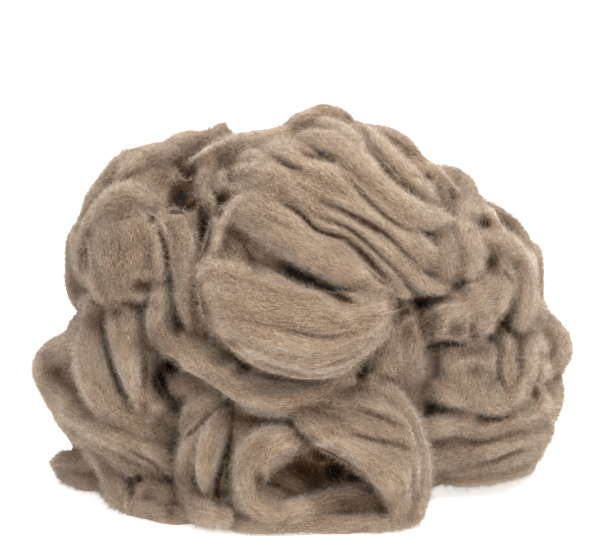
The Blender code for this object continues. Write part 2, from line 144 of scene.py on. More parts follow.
Lobe = namedtuple("Lobe", "centre half down power")
LOBES = {
    "dome": Lobe((0, 14, 85), (130, 100, 114), 118, 2.3),
    "foot": Lobe((5, -62, 30), (68, 56, 52), 70, 2.8),
    "belly": Lobe((-2, -42, 112), (70, 62, 48), 50, 2.2),
    "sweep": Lobe((20, -20, 165), (66, 66, 56), 60, 2.1),
    "left top": Lobe((-90, -8, 148), (40, 48, 52), 50, 2.1),
    "left low": Lobe((-96, -12, 68), (50, 58, 42), 60, 2.3),
    "left foot": Lobe((-88, -28, 14), (36, 44, 30), 40, 2.4),
    "right top": Lobe((92, 0, 120), (46, 54, 50), 56, 2.2),
    "right low": Lobe((102, 0, 58), (49, 52, 46), 64, 2.4),
}
LOBE_JOIN = 22.0  # how sharply two lobes meet

# The folds of each piece: width at the two ends, rise in front of the lobes, and the places that the fold
# runs through, across and up on its drawing. Where that isn't one strand on the front drawing, the drawing
# and the number of strands side by side follow. The noise goes by the folds' order.
Fold = namedtuple("Fold", "width rise path view strands", defaults=("front", 1))
PIECES = {
    "upper_left_folds": {
        "left edge": ((13, 14), 1, ((-138, 186), (-141, 172), (-141, 152), (-136, 134))),
        "outer arc": ((15, 15), 3,
            ((-132, 148), (-133, 174), (-127, 195), (-118, 211), (-106, 225), (-92, 230))),
        "brow": ((15, 15), 7, ((-110, 209), (-102, 221), (-90, 229), (-76, 230))),
        "middle arch": ((20, 22), 8, ((-130, 152), (-125, 178), (-114, 196), (-102, 202), (-90, 196))),
        "ball": ((38, 42), 8, ((-105, 190), (-106, 166), (-108, 139))),
        "ball rim": ((10, 10), 12, ((-100, 190), (-86, 182), (-83, 166), (-87, 148))),
        "ball lump": ((20, 18), 14, ((-124, 168), (-121, 153), (-112, 138))),
        "neck lobe": ((12, 12), 6, ((-84, 192), (-80, 182), (-76, 164))),
        "neck": ((20, 15), 8, ((-75, 192), (-72, 176), (-68, 158), (-66, 140), (-60, 116))),
        "side drop": ((12, 15), 7, ((-82, 156), (-84, 138), (-86, 122), (-78, 106))),
        "back knob": ((17, 13), 7, ((-84, 229), (-70, 237.5), (-58, 238), (-46, 248))),
        "knob fill": ((13, 12), 1, ((-82, 222), (-67, 227), (-52, 233))),
        "pit rim": ((8, 6), 4, ((-54, 217), (-57, 206), (-52, 188))),
        "pit floor": ((10, 10), -12, ((-64, 212), (-60, 196), (-56, 174))),
    },
    "sweep_folds": {
        "sweep one": ((17, 18), 9,
            ((-60, 216), (-52, 232), (-30, 235), (-9, 229), (8, 218),
             (28, 205), (46, 190), (66, 174), (90, 155))),
        "sweep one low": ((12, 13), 9,
            ((-14, 214), (2, 208), (16, 201), (32, 193), (48, 183), (64, 171), (82, 158))),
        "sweep two": ((18, 14), 8, ((-44, 224), (-32, 225), (-20, 221), (-6, 212), (12, 203))),
        "sweep three": ((15, 10), 10,
            ((-42, 216), (-22, 214), (-4, 204), (12, 194), (28, 186),
             (45, 175), (62, 160), (78, 148), (97, 145))),
        "sweep four": ((13, 9), 10,
            ((-40, 206), (-20, 206), (-4, 198), (10, 187), (26, 178), (42, 167), (54, 154), (66, 140))),
        "sweep under": ((7, 8), 5, ((20, 176), (38, 166), (50, 156), (62, 145))),
        "sweep knee": ((13, 12), 10, ((-38, 234), (-32, 218), (-31, 202))),
        "sweep hollow": ((16, 16), 1, ((-46, 228), (-44, 214), (-42, 196))),
        "hook outer": ((15, 12), 13,
            ((-58, 148), (-53, 170), (-45, 188), (-30, 198), (-12, 193), (10, 178), (34, 160), (59, 142))),
        "hook inner": ((25, 18), 15, ((-38, 190), (-22, 188), (-4, 177), (12, 166), (30, 155), (50, 145))),
        "hook low": ((12, 13), 15, ((-30, 182), (-14, 172), (2, 163), (24, 152), (57, 142))),
        "hook shade": ((18, 17), 12, ((-42, 178), (-28, 168), (-8, 156))),
        "top two": ((18, 16), 11,
            ((-1, 237), (15, 234), (33, 221), (45, 209), (58, 197), (72, 190), (92, 186))),
        "top three": ((12, 11), 9, ((6, 249), (24, 241), (40, 227), (60, 206))),
        "top four": ((14, 14), 8, ((34, 247), (48, 233), (62, 217), (84, 196))),
        "top arch": ((14, 14), 1,
            ((-20, 231), (-6, 242.5), (4, 249.5), (13, 253.5), (23, 251.5), (34, 242.5))),
        "top tuft": ((14, 13), 7, ((-8, 242), (4, 249), (19, 249))),
        "top lump": ((14, 13), 1, ((35, 237.5), (50, 240), (62.5, 234.5), (73, 225.5))),
    },
    "swag_folds": {
        "swag edge": ((12, 12), 14, ((-50, 172), (-54, 156), (-53, 136), (-46, 118))),
        "swag lip": ((13, 12), 14, ((-48, 168), (-32, 158), (-12, 148), (8, 139), (30, 135), (52, 138))),
        "swag one": ((20, 16), 17, ((-60, 158), (-42, 154), (-16, 144), (16, 137), (56, 136))),
        "swag two": ((20, 17), 19, ((-60, 147), (-40, 141), (-8, 132), (20, 130), (56, 135))),
        "swag three": ((20, 16), 18, ((-58, 136), (-38, 127), (-10, 118), (16, 116), (57, 132))),
        "swag four": ((18, 14), 15, ((-53, 127), (-34, 114), (-8, 106), (18, 105), (55, 127))),
        "swag five": ((12, 11), 11, ((-42, 119), (-24, 105), (-4, 99), (20, 100), (52, 120))),
        "low swag": ((16, 22), 11,
            ((-86, 126), (-77, 112), (-60, 101), (-40, 89), (-14, 79), (14, 84), (36, 100))),
        "low swag top": ((12, 12), 9, ((-74, 120), (-58, 109), (-40, 96), (-16, 86.5), (8, 86), (28, 94))),
    },
    "lower_left_folds": {
        "left one": ((22, 21), 8,
            ((-112, 132), (-136, 114), (-155, 103), (-155, 89), (-140, 74), (-116, 63))),
        "left two": ((20, 22), 9,
            ((-114, 150), (-124, 130), (-127, 108), (-123, 90), (-112, 74), (-96, 64), (-76, 55))),
        "left three": ((20, 14), 11,
            ((-103, 146), (-107, 127), (-104, 105), (-98, 85), (-88, 71), (-74, 64))),
        "left four": ((12, 12), 3, ((-95, 134), (-94, 108), (-91, 88), (-78, 70))),
        "left five": ((17, 15), 14, ((-132, 64), (-112, 58), (-94, 49), (-75, 38))),
        "left six": ((14, 13), 8, ((-132, 54), (-118, 50), (-104, 40), (-86, 32))),
        "left eight": ((14, 13), 7, ((-106, 47), (-92, 38), (-81, 26))),
        "left seven": ((16, 18), 5, ((-130, 53), (-119, 41), (-112, 28), (-109, 14))),
        "left end": ((11, 12), 3, ((-120, 38), (-138, 36), (-154, 38))),
        "left end low": ((13, 14), 4, ((-150, 33), (-138, 29), (-120, 26))),
        "left loop": ((14, 14), 7, ((-103, 12), (-97, 22), (-87, 24), (-79, 9))),
        "left floor": ((12, 12), -2, ((-122, 25), (-104, 15), (-83, 10), (-58, 8))),
    },
    "foot_folds": {
        "gusset": ((18, 15), 10, ((-46, 84), (-60, 76), (-69, 56))),
        "gusset top": ((11, 11), 7, ((-78, 86), (-66, 88), (-46, 82))),
        "foot left": ((18, 18), 16.5, ((-57, 70), (-66, 50), (-68, 30), (-61, 14), (-40, 8))),
        "foot grey": ((13, 12), 9, ((-46, 74), (-54, 56), (-56, 36), (-50, 18))),
        "ring outer": ((13, 12), 11, ((-4, 61), (-20, 58), (-31, 49), (-36, 37), (-36, 22), (-22, 8))),
        "ring top": ((22, 11), 12, ((0, 56), (-13, 52), (-24, 43), (-30, 28), (-20, 14), (4, 13))),
        "ring foot": ((13, 12), 11, ((-34, 10), (-12, 12), (4, 15), (16, 17))),
        "ring foot right": ((13, 12), 5, ((-4, 13), (12, 18), (28, 21), (42, 17), (54, 9))),
        "ring lip": ((8, 7), 9, ((-30, 32), (-22, 25), (-8, 20))),
        "ring shade": ((13, 12), -3, ((-28, 40), (-8, 33), (12, 24))),
        "ring stem": ((9, 9), -4, ((6, 50), (7, 40), (8, 26))),
        "foot flank": ((26, 24), 7, ((24, 90), (50, 80), (66, 58), (70, 32), (68, 8))),
        "foot one": ((16, 20), 10, ((6, 82), (32, 77), (54, 66), (62, 42), (62, 10))),
        "foot two": ((14, 20), 11, ((0, 74), (24, 66), (46, 56), (58, 38), (60, 8))),
        "foot three": ((15, 20), 15, ((-1, 72), (20, 58), (40, 46), (57, 30), (58, 8))),
        "foot lip": ((10, 12), 14, ((0, 66), (17, 54), (36, 42), (51, 29), (56, 10))),
        "foot floor": ((10, 12), 5.5, ((-48, 6), (-20, 5), (24, 6), (68, 6))),
    },
    "right_folds": {
        "right mass": ((26, 28), -2, ((68, 134), (60, 110), (62, 84))),
        "right mass low": ((16, 16), 0, ((48, 112), (50, 98), (56, 84))),
        "right arch": ((16, 18), 5, ((76, 212), (92, 215), (101.5, 209.5), (101.5, 197), (99, 176))),
        "arch shade": ((13, 13), -3, ((80, 208), (87, 198), (92, 186))),
        "right edge": ((12, 10), 4, ((104, 193.5), (117, 193), (128, 187), (137, 177), (144, 162))),
        "edge shade": ((13, 12), -9, ((104, 186), (116, 183), (130, 176))),
        "crinkle left": ((18, 18), 11, ((84, 181), (87, 166), (89, 148))),
        "crinkle right": ((17, 16), 13, ((98, 184), (103, 168), (104, 148))),
        "right bow": ((15, 16), 14,
            ((106, 176), (120, 174), (130, 167), (135, 156), (136, 142), (134, 122))),
        "right bow inner": ((14, 14), 7, ((106, 171), (116, 165), (123, 154), (127, 140))),
        "right tip": ((8, 9), -1, ((147, 174), (147.5, 154), (147, 134))),
        "right hand": ((18, 22), 12, ((72, 120), (88, 128), (103, 138), (122, 147))),
        "hand fill": ((20, 22), 12, ((82, 123), (99, 128), (116, 137))),
        "right palm": ((15, 13), 13, ((116, 152), (124, 142), (117, 130), (107, 118))),
        "right thumb": ((9, 9), 7, ((80, 118), (94, 118), (110, 119))),
        "right bulge": ((22, 24), 7, ((132, 142), (145, 128), (160, 111), (153, 92))),
        "bulge inner": ((17, 16), 1, ((128, 132), (137, 122), (142, 108))),
        "right drop": ((15, 14), 7, ((124, 118), (125, 98), (123, 84), (116, 72))),
        "right drop two": ((14, 12), 10, ((139, 116), (138, 98), (132, 84), (120, 70))),
        "right comb": ((38, 40), 6, ((101, 118), (102, 98), (103, 76))),
        "comb belt": ((15, 20), 9, ((76, 86), (92, 83), (108, 81), (128, 76))),
        "right belt": ((14, 13), 11, ((72, 60), (88, 64), (106, 66))),
        "right belt two": ((14, 25), 4, ((76, 58), (100, 60), (122, 65), (142, 70), (156, 79), (155, 91))),
        "right belt three": ((20, 26), 4, ((70, 44), (100, 47), (126, 51), (152, 56))),
        "right foot": ((13, 15), 6, ((80, 34), (104, 38), (130, 45), (148, 54))),
        "right foot two": ((12, 13), 9, ((84, 30), (112, 31), (132, 35), (148, 46))),
    },
    "right_side_folds": {
        "top back right": ((15, 15), -5, ((90, 8), (68, 54), (0, 68)), "top", 3),
        "right high": ((14, 14), 0, ((-38, 134), (10, 150), (58, 126)), "right", 3),
        "right swag": ((15, 15), 0, ((-22, 124), (30, 98), (84, 116)), "right", 4),
        "right side drop": ((16, 15), 1, ((90, 140), (78, 92), (40, 60)), "right", 3),
        "right low swag": ((15, 15), 0, ((-44, 80), (10, 55), (70, 60)), "right", 4),
        "right side foot": ((14, 14), 0, ((-40, 30), (15, 16), (70, 30)), "right", 3),
    },
    "back_folds": {
        "top cross": ((14, 14), 0, ((-70, 10), (-15, 38), (60, 20)), "top", 4),
        "back high": ((15, 15), 1, ((-96, 140), (-60, 180), (20, 194), (84, 158)), "back", 4),
        "back swag": ((15, 15), 8, ((-82, 158), (-18, 116), (66, 150)), "back", 6),
        "back hook": ((15, 14), 6, ((96, 152), (104, 104), (70, 74), (24, 84)), "back", 3),
        "back drop": ((15, 15), 4, ((-88, 132), (-112, 88), (-78, 40)), "back", 4),
        "back low swag": ((15, 15), 6, ((-78, 84), (-16, 48), (52, 74)), "back", 5),
        "back foot": ((14, 14), 2, ((-76, 26), (-10, 13), (70, 24)), "back", 3),
        "back loop": ((13, 13), 4, ((62, 62), (104, 52), (92, 18), (40, 20)), "back", 3),
    },
    "left_side_folds": {
        "top back left": ((15, 15), 0, ((-112, 15), (-80, 62), (-10, 78)), "top", 4),
        "left high": ((14, 14), 0, ((-66, 122), (-20, 152), (40, 144)), "left", 3),
        "left swag": ((15, 15), 0, ((-86, 112), (-34, 84), (18, 96)), "left", 4),
        "left side drop": ((16, 15), 0, ((-88, 112), (-78, 66), (-36, 40)), "left", 3),
        "left low swag": ((15, 15), 0, ((-66, 60), (-14, 50), (38, 66)), "left", 3),
        "left side foot": ((14, 14), 0, ((-72, 26), (-12, 15), (36, 26)), "left", 3),
    },
}
FRONT_PIECES = list(PIECES)[:6]
FUZZ_SHARES = {"sweep_folds": 0.45, "swag_folds": 0.4, "foot_folds": 0.6}  # the neatest folds have less fuzz

# Creases and hollows on the front drawing: how wide and how deep they are, and where they run or lie. A
# hollow among folds that face up is let down too. Their depth also darkens the wool's colour as painted
# shade, and the broad, shallow hollows are there mostly for that painted shade.
Crease = namedtuple("Crease", "width depth path")
CREASES = [Crease(*row) for row in (
    (1.9, 2.9, ((-118, 183), (-105, 188), (-94, 189))), (2, 4.3, ((-127, 139), (-116, 135), (-106, 133))),
    (2.6, 7, ((-86, 186), (-82, 175), (-80.5, 167), (-80, 155))),
    (1.6, 2.9, ((-110, 208), (-104, 213), (-97, 217))), (1.6, 2.9, ((-134, 166), (-131, 158), (-131, 150))),
    (3, 6, ((-2, 233), (4, 226), (20, 223))), (1.8, 4, ((-15, 224), (-8, 219), (1, 217))),
    (1.9, 4.3, ((27, 213), (38, 200), (55, 186), (65, 181), (75, 180))),
    (2.4, 5, ((9, 199), (26, 192), (45, 182), (54, 176), (66, 164), (70, 158))),
    (2, 4.9, ((12, 189), (30, 181), (45, 168), (58, 156), (64, 152))),
    (2.2, 5.8, ((-14, 200), (0, 190), (12, 180), (36, 174))), (1.6, 3.5, ((36, 161), (47, 151), (57, 146))),
    (3, 6, ((24, 178), (36, 168), (46, 157), (53, 150))), (1.4, 2, ((-20, 189), (-14, 186), (-7, 182))),
    (3.4, 3.5, ((-42, 177), (-36, 174), (-30, 165), (-27, 157))),
    (2.6, 6, ((-10, 160), (2, 154), (14, 147))), (3.2, 9, ((10, 149), (21, 142), (32, 137))),
    (2.6, 6, ((36, 240), (41, 230), (50, 218), (62, 205))), (1.6, 2.9, ((67, 214), (74, 213), (80, 212))),
    (1.8, 2.4, ((-42, 130), (-15, 124), (12, 118), (30, 120), (52, 127))),
    (1.6, 2.6, ((-20, 101), (0, 98), (25, 104), (35, 110))),
    (2.6, 3.5, ((-44, 108), (-31, 97), (-15, 93), (4, 92), (20, 94), (34, 101))),
    (6, 3.6, ((-47, 113), (-31, 101), (-14, 97), (6, 96), (24, 98))),
    (3, 4, ((147, 112), (146, 98), (144, 84))), (2.4, 6.5, ((-43, 111), (-37, 102), (-30, 95))),
    (2.2, 3, ((-139, 108), (-139, 96), (-135, 86))),
    (2.6, 5, ((-115, 112), (-113, 99), (-108, 87), (-99, 73))),
    (2.2, 4.3, ((-85, 107), (-77, 100), (-70, 94))), (1.8, 3.8, ((-71, 54), (-63, 61), (-46, 76))),
    (1.6, 2.9, ((-104, 50), (-92, 44), (-78, 34))), (3, 7.2, ((-42, 56), (-46, 42), (-50, 26), (-46, 12))),
    (2.6, 3.8, ((20, 77), (38, 73), (52, 68), (64, 62))),
    (2.4, 3.8, ((18, 63), (36, 58), (56, 54), (68, 50))), (1.6, 2.3, ((66, 46), (67, 34), (64, 22))),
    (2.4, 6, ((32, 37), (43, 29), (50, 22))), (3, 7, ((72, 110), (86, 113), (101, 112))),
    (2, 2.9, ((119, 112), (119, 97), (124, 83))), (1.6, 2, ((133, 112), (134, 98), (129, 84))),
    (2, 4.3, ((104, 68), (116, 67), (128, 69))),
    (2, 2.4, ((80, 52), (92, 56), (110, 53), (128, 58), (140, 60))),
    (1.8, 3.5, ((108, 40), (118, 42), (128, 46), (140, 50))),
    (1.6, 2.9, ((121, 158), (127, 151), (129, 143))), (2.6, 6, ((71, 136), (84, 138), (95, 141))),
    (4, 7, ((128, 146), (127, 134), (121, 122))),
    (3, 6, ((-59, 158), (-58, 145), (-54, 128), (-46, 115), (-34, 102))),
    (3, 8, ((-131, 182), (-129, 166), (-130, 148))), (3, 1.5, ((-116, 172), (-112, 158), (-108, 142))),
    (3.5, 6, ((-40, 66), (-42, 52), (-42, 34), (-38, 20))),
)]
Hollow = namedtuple("Hollow", "at half depth drop", defaults=(0,))
HOLLOWS = [Hollow(*row) for row in (
    ((-73, 205), (9, 12), 16, 6), ((-72, 199), (9, 6), 17, 9), ((-71, 206), (18, 17), 6, 3),
    ((-68, 186), (9, 16), 5), ((-62, 206), (6, 13), 5), ((-58, 178), (6, 17), 13), ((-59, 190), (6, 10), 7),
    ((-40, 216), (12, 9), 5), ((-49, 193), (4, 6), 9), ((-88, 188), (4, 4), 8), ((-132, 166), (3, 13), 8),
    ((-93, 92), (4, 14), 7), ((-92, 76), (5, 9), 5), ((-33, 99), (7, 5), 7), ((-43, 106), (9, 6), 5),
    ((-24, 34), (5, 9), 7), ((122, 125), (6, 7), 8), ((115, 116), (3, 3), 6), ((-73, 122), (3, 6), 6),
    ((-46, 200), (6, 7), 9), ((13, 46), (12, 8), 12), ((30, 20), (20, 8), 7), ((-80, 110), (12, 12), 5),
    ((-62, 90), (16, 8), 5), ((-84, 69), (7, 7), 5), ((-109, 131), (9, 6), 5), ((54, 135), (6, 7), 6),
    ((94, 122), (10, 6), 5), ((28, 84), (12, 10), 4), ((104, 97), (8, 7), 4), ((86, 202), (10, 13), 5),
    ((118, 185), (13, 6), 5), ((-55, 183), (7, 8), 6), ((-95, 149), (8, 6), 7), ((73, 137), (7, 5), 10),
    ((76, 125), (10, 12), 7), ((63, 120), (9, 12), 6), ((103, 108), (16, 6), 4), ((61, 131), (8, 4), 7),
    ((96, 146), (5, 6), 6), ((50, 91), (5, 3), 4), ((36, 95), (4, 5), 10), ((-86, 90), (6, 13), 11),
    ((-78, 100), (7, 6), 12), ((-101, 24), (3, 6), 6), ((-98, 31), (4, 4), 6), ((-77, 12), (4, 4), 5),
    ((-20, 68), (22, 5), 5), ((20, 38), (13, 9), 15), ((18, 30), (12, 5), 6), ((-35, 177), (9, 8), 4),
    ((-81, 211), (8, 9), 9), ((-128, 178), (7, 7), 5), ((-62, 130), (6, 16), 5), ((-108, 165), (22, 26), 3),
    ((57, 128), (9, 6), 8), ((18, 62), (12, 6), 4), ((-42, 114), (8, 6), 5), ((-100, 136), (12, 5), 5),
    ((143, 82), (5, 7), 7), ((6, 57), (10, 8), 5), ((8, 45), (11, 6), 9), ((31, 35), (9, 6), 11),
    ((8, 38), (26, 12), 12), ((-4, 41), (8, 7), 9), ((111, 185), (8, 5), 8), ((77, 212), (4, 3), 6),
    ((91, 199), (3, 4), 6), ((84, 203), (6, 9), 4), ((115, 162), (5, 6), 6), ((103, 122), (4, 6), 6),
    ((10, 70), (18, 8), 6), ((-3, 60), (6, 9), 4), ((78, 74), (4, 8), 4), ((109, 68), (4, 3), 4),
)]


# ---------------------------------------------------------------- camera, light and stage

def add_object(name, data):
    """A new object of the scene, with its mesh, light or camera."""
    added = bpy.data.objects.new(name, data)
    bpy.context.scene.collection.objects.link(added)
    return added


def add_camera():
    """A long lens that looks at the heap from the front and a little above."""
    data = bpy.data.cameras.new("camera")
    camera = add_object("camera", data)
    lean = math.radians(CAMERA_LEAN)
    sight = Vector((0.0, math.cos(lean), -math.sin(lean)))
    camera.location = CAMERA_AIM - sight * CAMERA_DISTANCE
    camera.rotation_euler = (math.pi / 2 - lean, 0.0, 0.0)
    data.sensor_width = SENSOR_WIDTH
    data.lens = SENSOR_WIDTH * CAMERA_DISTANCE / VIEW_WIDTH
    data.clip_end = FAR
    bpy.context.scene.camera = camera


def add_softbox(name, place, size, power, tint):
    """A square studio light that faces the heap."""
    data = bpy.data.lights.new(name, "AREA")
    data.shape = "SQUARE"
    data.size = size
    data.energy = power
    data.color = tint
    light = add_object(name, data)
    light.location = place
    light.rotation_euler = (Vector(place) - CAMERA_AIM).to_track_quat("Z", "Y").to_euler()


def add_studio():
    """White surroundings, a large key light above on the right, weak ones low on both sides, one behind."""
    world = bpy.data.worlds.new("white studio")
    world.use_nodes = True
    background = world.node_tree.nodes["Background"]
    background.inputs["Color"].default_value = WHITE
    background.inputs["Strength"].default_value = STUDIO_GLOW
    bpy.context.scene.world = world
    add_softbox("key light", (0.7, -0.75, 2.45), 1.5, 98.0, (1.0, 0.985, 0.965))
    add_softbox("side light", (-1.6, -1.2, 0.6), 1.2, 11.0, (0.98, 0.99, 1.0))
    add_softbox("low light", (1.5, -1.2, 0.4), 1.2, 9.0, (0.98, 0.99, 1.0))
    add_softbox("back light", (0.0, 1.2, 1.9), 1.4, 100.0, (0.96, 0.98, 1.0))
    bpy.context.scene.view_settings.view_transform = "Standard"


def add_floor():
    """A pale matt surface, large enough to fill every view."""
    disc = bmesh.new()
    bmesh.ops.create_circle(disc, cap_ends=True, segments=64, radius=FLOOR_RADIUS)
    floor = add_object("floor", evaluated(disc, "floor", []))
    paper, tree, shader = new_material("white paper")
    connect(tree, shader, {
        "Base Color": linear("F4F4F3"),
        "Roughness": 0.9,
        "Emission Color": WHITE,
        "Emission Strength": FLOOR_GLOW,
    })
    floor.data.materials.append(paper)


# ---------------------------------------------------------------- drawings to folds

def axes_of(view):
    """A drawing's across and up directions, its line of sight, and the point that its origin stands for."""
    turn, lean = math.radians(view.azimuth), math.radians(view.elevation)
    across = np.array([math.cos(turn), math.sin(turn), 0.0])
    ahead = np.array([-math.sin(turn), math.cos(turn), 0.0])
    up = math.sin(lean) * ahead + np.array([0.0, 0.0, math.cos(lean)])
    sight = math.cos(lean) * ahead - np.array([0.0, 0.0, math.sin(lean)])
    return across, up, sight, np.array([0.0, view.base_y, 0.0])


def fullness(points):
    """How far out points lie: under 1 inside the joined lobes, 1 on their surface and more outside."""
    total = 0.0
    for lobe in LOBES.values():
        away = points - np.array(lobe.centre, float)
        half = np.broadcast_to(np.array(lobe.half, float), away.shape).copy()
        half[..., 2] = np.where(away[..., 2] < 0, lobe.down, lobe.half[2])
        reach = (np.abs(away / half) ** lobe.power).sum(axis=-1) ** (1 / lobe.power)
        total = total + np.maximum(reach, 1e-3) ** -LOBE_JOIN
    return total ** (-1 / LOBE_JOIN)


def unit(vectors):
    """The vectors at length 1."""
    return vectors / np.maximum(np.linalg.norm(vectors, axis=-1, keepdims=True), 1e-9)


def outward(points):
    """The direction that the heap's surface faces at points."""
    steps = 0.5 * np.eye(3)
    return unit(np.stack([fullness(points + step) - fullness(points - step) for step in steps], axis=-1))


def lengths_to(line):
    """How far along a line each of its places is."""
    return np.concatenate([[0], np.cumsum(np.linalg.norm(np.diff(line, axis=0), axis=1))])


def evenly(line, spacing):
    """The line again, with places at about one spacing from each other."""
    gone = lengths_to(line)
    at = np.linspace(0, gone[-1], max(6, int(round(gone[-1] / spacing)) + 1))
    return np.stack([np.interp(at, gone, column) for column in line.T], axis=1)


def smooth_path(path, spacing):
    """Places evenly spaced along a smooth curve through the path's own places."""
    knots = np.array(path, float)
    padded = np.vstack([2 * knots[0] - knots[1], knots, 2 * knots[-1] - knots[-2]])
    part = np.linspace(0, 1, 40, endpoint=False)[:, None]
    runs = []
    for a, b, c, d in zip(padded, padded[1:], padded[2:], padded[3:]):
        bend = 2 * a - 5 * b + 4 * c - d
        twist = 3 * b - 3 * c + d - a
        runs.append(b + 0.5 * ((c - a) * part + bend * part**2 + twist * part**3))
    return evenly(np.vstack([*runs, knots[-1:]]), spacing)


def smoothed(values, reach):
    """A running mean over reach values each way, with the two ends held."""
    padded = np.pad(values, (reach, reach), mode="edge")
    return np.convolve(padded, np.ones(2 * reach + 1) / (2 * reach + 1), mode="valid")


def side_by_side(fold):
    """The drawn line and rise of each of a fold's strands, apart in the middle and together at the ends."""
    line = smooth_path(fold.path, STEP)
    along = np.gradient(line, axis=0)
    aside = unit(np.stack([-along[:, 1], along[:, 0]], axis=1))
    part = np.linspace(0, 1, len(line))[:, None]
    open_up = OPEN_UP[0] + OPEN_UP[1] * np.sin(math.pi * part)
    pitch = SPREAD * sum(fold.width) / 2
    several = fold.strands > 1
    for number in range(fold.strands):
        offset = pitch * (number - (fold.strands - 1) / 2)
        sway = several * WANDER * np.sin(WANDER_TURN[0] * number + WANDER_TURN[1] * part)
        lift = several * UNEVEN * math.sin(UNEVEN_TURN[0] * number + UNEVEN_TURN[1])
        yield line + aside * (open_up * offset + sway), fold.rise + lift


def seated(line, view, rise, clear):
    """Drawn places carried along the drawing's line of sight to the heap's surface, or to the table if
    that is met first, and raised off it. A strand lies clear of the table by half its thickness."""
    across, up, sight, base = axes_of(view)
    flat = base + line[:, :1] * across + line[:, 1:] * up
    depths = np.arange(-SEARCH, SEARCH, 1.0)
    full = fullness(flat[:, None, :] + depths[:, None] * sight)
    inside = full < 1
    first = np.where(inside.any(axis=1), inside.argmax(axis=1), full.argmin(axis=1))
    met = depths[first]
    if sight[2] < 0:
        met = np.minimum(met, (flat[:, 2] - clear) / -sight[2])
    depth = smoothed(met, int(DRAPE / 2 / STEP))
    gone = lengths_to(line)
    from_end = np.minimum(gone, gone[-1] - gone)
    sink = TUCK * (1 - np.clip(from_end / TUCK_LENGTH, 0, 1)) ** 2
    return flat + (depth - rise + sink)[:, None] * sight


# ---------------------------------------------------------------- noise

def lattice(cells, seed):
    """A fixed random number from -1 to 1 for each whole-number cell."""
    mixed = (cells * np.array([73856093, 19349663, 83492791])).sum(axis=-1) + seed * 1274126177
    mixed = (mixed ^ (mixed >> 13)) * 1103515245 & 0x7FFFFFFF
    mixed = (mixed ^ (mixed >> 11)) * 12345701 & 0x7FFFFFFF
    return mixed / 0x3FFFFFFF - 1.0


def noise(points, seed):
    """Smooth noise from -1 to 1 with features one unit apart."""
    low = np.floor(points).astype(np.int64)
    part = points - low
    part = part * part * (3 - 2 * part)
    total = 0.0
    for corner in np.ndindex(2, 2, 2):
        share = np.prod(np.where(corner, part, 1 - part), axis=-1)
        total = total + share * lattice(low + np.array(corner), seed)
    return total


# ---------------------------------------------------------------- strands

class Strands:
    """Every strand's centre line, directions and half width, sampled evenly and laid end to end."""

    def __init__(self):
        parts = []
        for piece, folds in enumerate(PIECES.values()):
            for fold in (Fold(*row) for row in folds.values()):
                for line, rise in side_by_side(fold):
                    clear = SECTION_FLATNESS * sum(fold.width) / 4
                    seat = seated(line, VIEWS[fold.view], rise, clear)
                    parts.append(sampled(seat, fold, rise, len(parts), piece))
        self.starts = np.cumsum([0] + [len(part[0]) for part in parts])
        columns = [np.concatenate(column) for column in zip(*parts)]
        self.centre, self.along, self.out, self.wide, self.half, self.root = columns[:6]
        self.gone, self.number, self.piece = columns[6:]
        self.count = len(parts)

    def local(self, points, sample):
        """Points as across, outward and along a strand, in millimetres, from its start."""
        away = points - self.centre[sample]
        across = (away * self.wide[sample]).sum(axis=-1)
        outward_by = (away * self.out[sample]).sum(axis=-1)
        along = (away * self.along[sample]).sum(axis=-1) + self.gone[sample]
        return np.stack([across, outward_by, along], axis=-1)

    def nearest(self, points):
        """The sample of the strand that each point belongs to: the one whose skin it lies nearest to."""
        tree = kdtree.KDTree(len(self.centre))
        for index, centre in enumerate(self.centre):
            tree.insert(centre, index)
        tree.balance()
        found = np.array([[hit[1] for hit in tree.find_n(point, NEIGHBOURS)] for point in points])
        away = points[:, None, :] - self.centre[found]
        across = (away * self.wide[found]).sum(axis=-1) / self.half[found]
        outward_by = (away * self.out[found]).sum(axis=-1) / (SECTION_FLATNESS * self.half[found])
        along = (away * self.along[found]).sum(axis=-1) / STEP
        best = (across**2 + outward_by**2 + along**2).argmin(axis=1)
        return found[np.arange(len(points)), best]

    def places(self, number, part):
        """Fractional sample places at parts 0 to 1 of the length of the strands with these numbers."""
        first, last = self.starts[number], self.starts[number + 1] - 1
        return first + np.clip(part, 0, 1) * (last - first - 1e-6)

    def tube(self, at, angle, reach):
        """Points round the strands at fractional sample places: reach 1 is on their skin, which runs down
        into the heap below their middle."""
        low = np.floor(at).astype(int)
        share = (at - low)[..., None]
        centre, out, wide, half, root = (
            column[low] * (1 - share) + column[low + 1] * share
            for column in (self.centre, self.out, self.wide, self.half[:, None], self.root[:, None])
        )
        up, aside = np.cos(angle)[..., None], np.sin(angle)[..., None]
        below = up < 0
        aside = aside * (1 - (1 - ROOT_WIDTH) * below * np.abs(up))
        thick = SECTION_FLATNESS * half * np.minimum(1.0, np.sqrt(FLAT_FROM / half))
        outer = thick * up * out + half * aside * wide + below * root * up * out
        return centre + reach[..., None] * outer


def sampled(line, fold, rise, number, piece):
    """One strand's samples: it swells and narrows a little, and each end is drawn in."""
    line = evenly(line, STEP)
    gone = np.arange(len(line)) * STEP
    along = unit(np.gradient(line, axis=0))
    wide = unit(np.cross(along, outward(line)))
    out = np.cross(wide, along)
    part = np.linspace(0, 1, len(line))
    half = np.interp(part, (0, 1), fold.width) / 2
    half *= np.minimum(1.0, TIP_WIDTH[0] + TIP_WIDTH[1] * np.minimum(part, 1 - part))
    places = np.stack([gone / SWELL[0], 0 * gone, 0 * gone + STRAND_APART * number], axis=1)
    half *= 1 + SWELL[1] * noise(places, 5)
    root = np.full(len(line), max(rise, 0.0) + LOBE_INSET + ROOT_DEPTH)
    return line, along, out, wide, half, root, gone, np.full(len(line), number), np.full(len(line), piece)


# ---------------------------------------------------------------- meshes to shape

